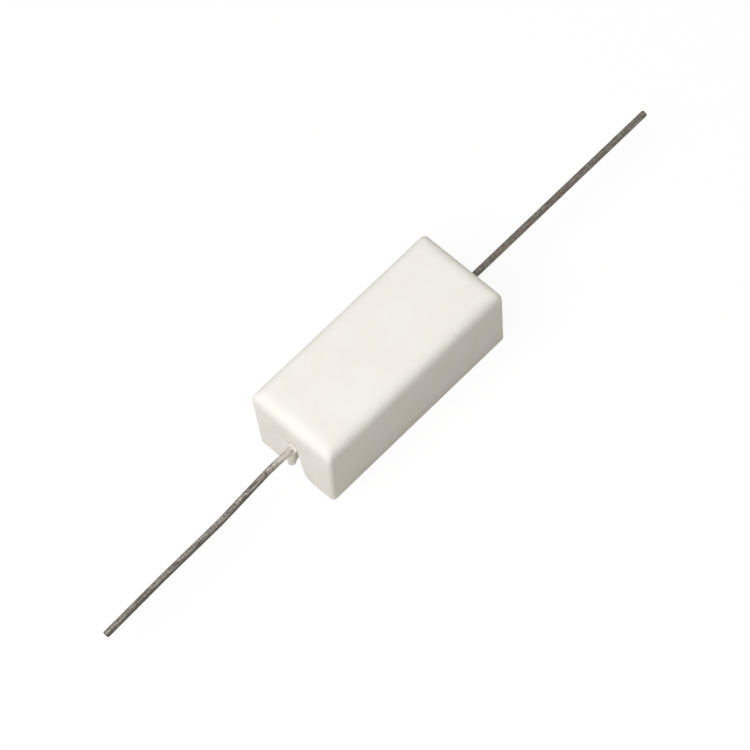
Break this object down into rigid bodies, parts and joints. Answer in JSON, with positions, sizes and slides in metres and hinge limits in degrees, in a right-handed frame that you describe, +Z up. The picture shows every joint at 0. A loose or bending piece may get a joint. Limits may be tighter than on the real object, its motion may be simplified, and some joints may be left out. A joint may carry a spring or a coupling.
{
  "type": "axial wirewound cement resistor",
  "caption": "Axial-lead wirewound power resistor: a winding on a rod, cast in cement inside a white pressed ceramic trough, with a tinned wire lead from a notch at each end.",
  "frame": {"origin": "on the rim plane of the ceramic trough, midway along and across it; the leads' tips are equally far from it along X", "axes": "+X along the leads towards the far lead, +Z up from the open rim to the closed face, -Y towards the long side that the picture shows"},
  "size_m": [0.069, 0.0096, 0.0086],
  "materials": {
    "case_ceramic": "matte",
    "cement": "matte",
    "rod_glass_fibre": "matte",
    "resistance_alloy": "satin",
    "cap_metal": "satin",
    "tinned_wire": "satin"
  },
  "bodies": {
    "root": {"ceramic_case": "case_ceramic", "cement_fill": "cement", "core_rod": "rod_glass_fibre", "resistance_wire": "resistance_alloy", "end_cap_near": "cap_metal", "end_cap_far": "cap_metal", "lead_near": "tinned_wire", "lead_far": "tinned_wire"}
  },
  "joints": []
}
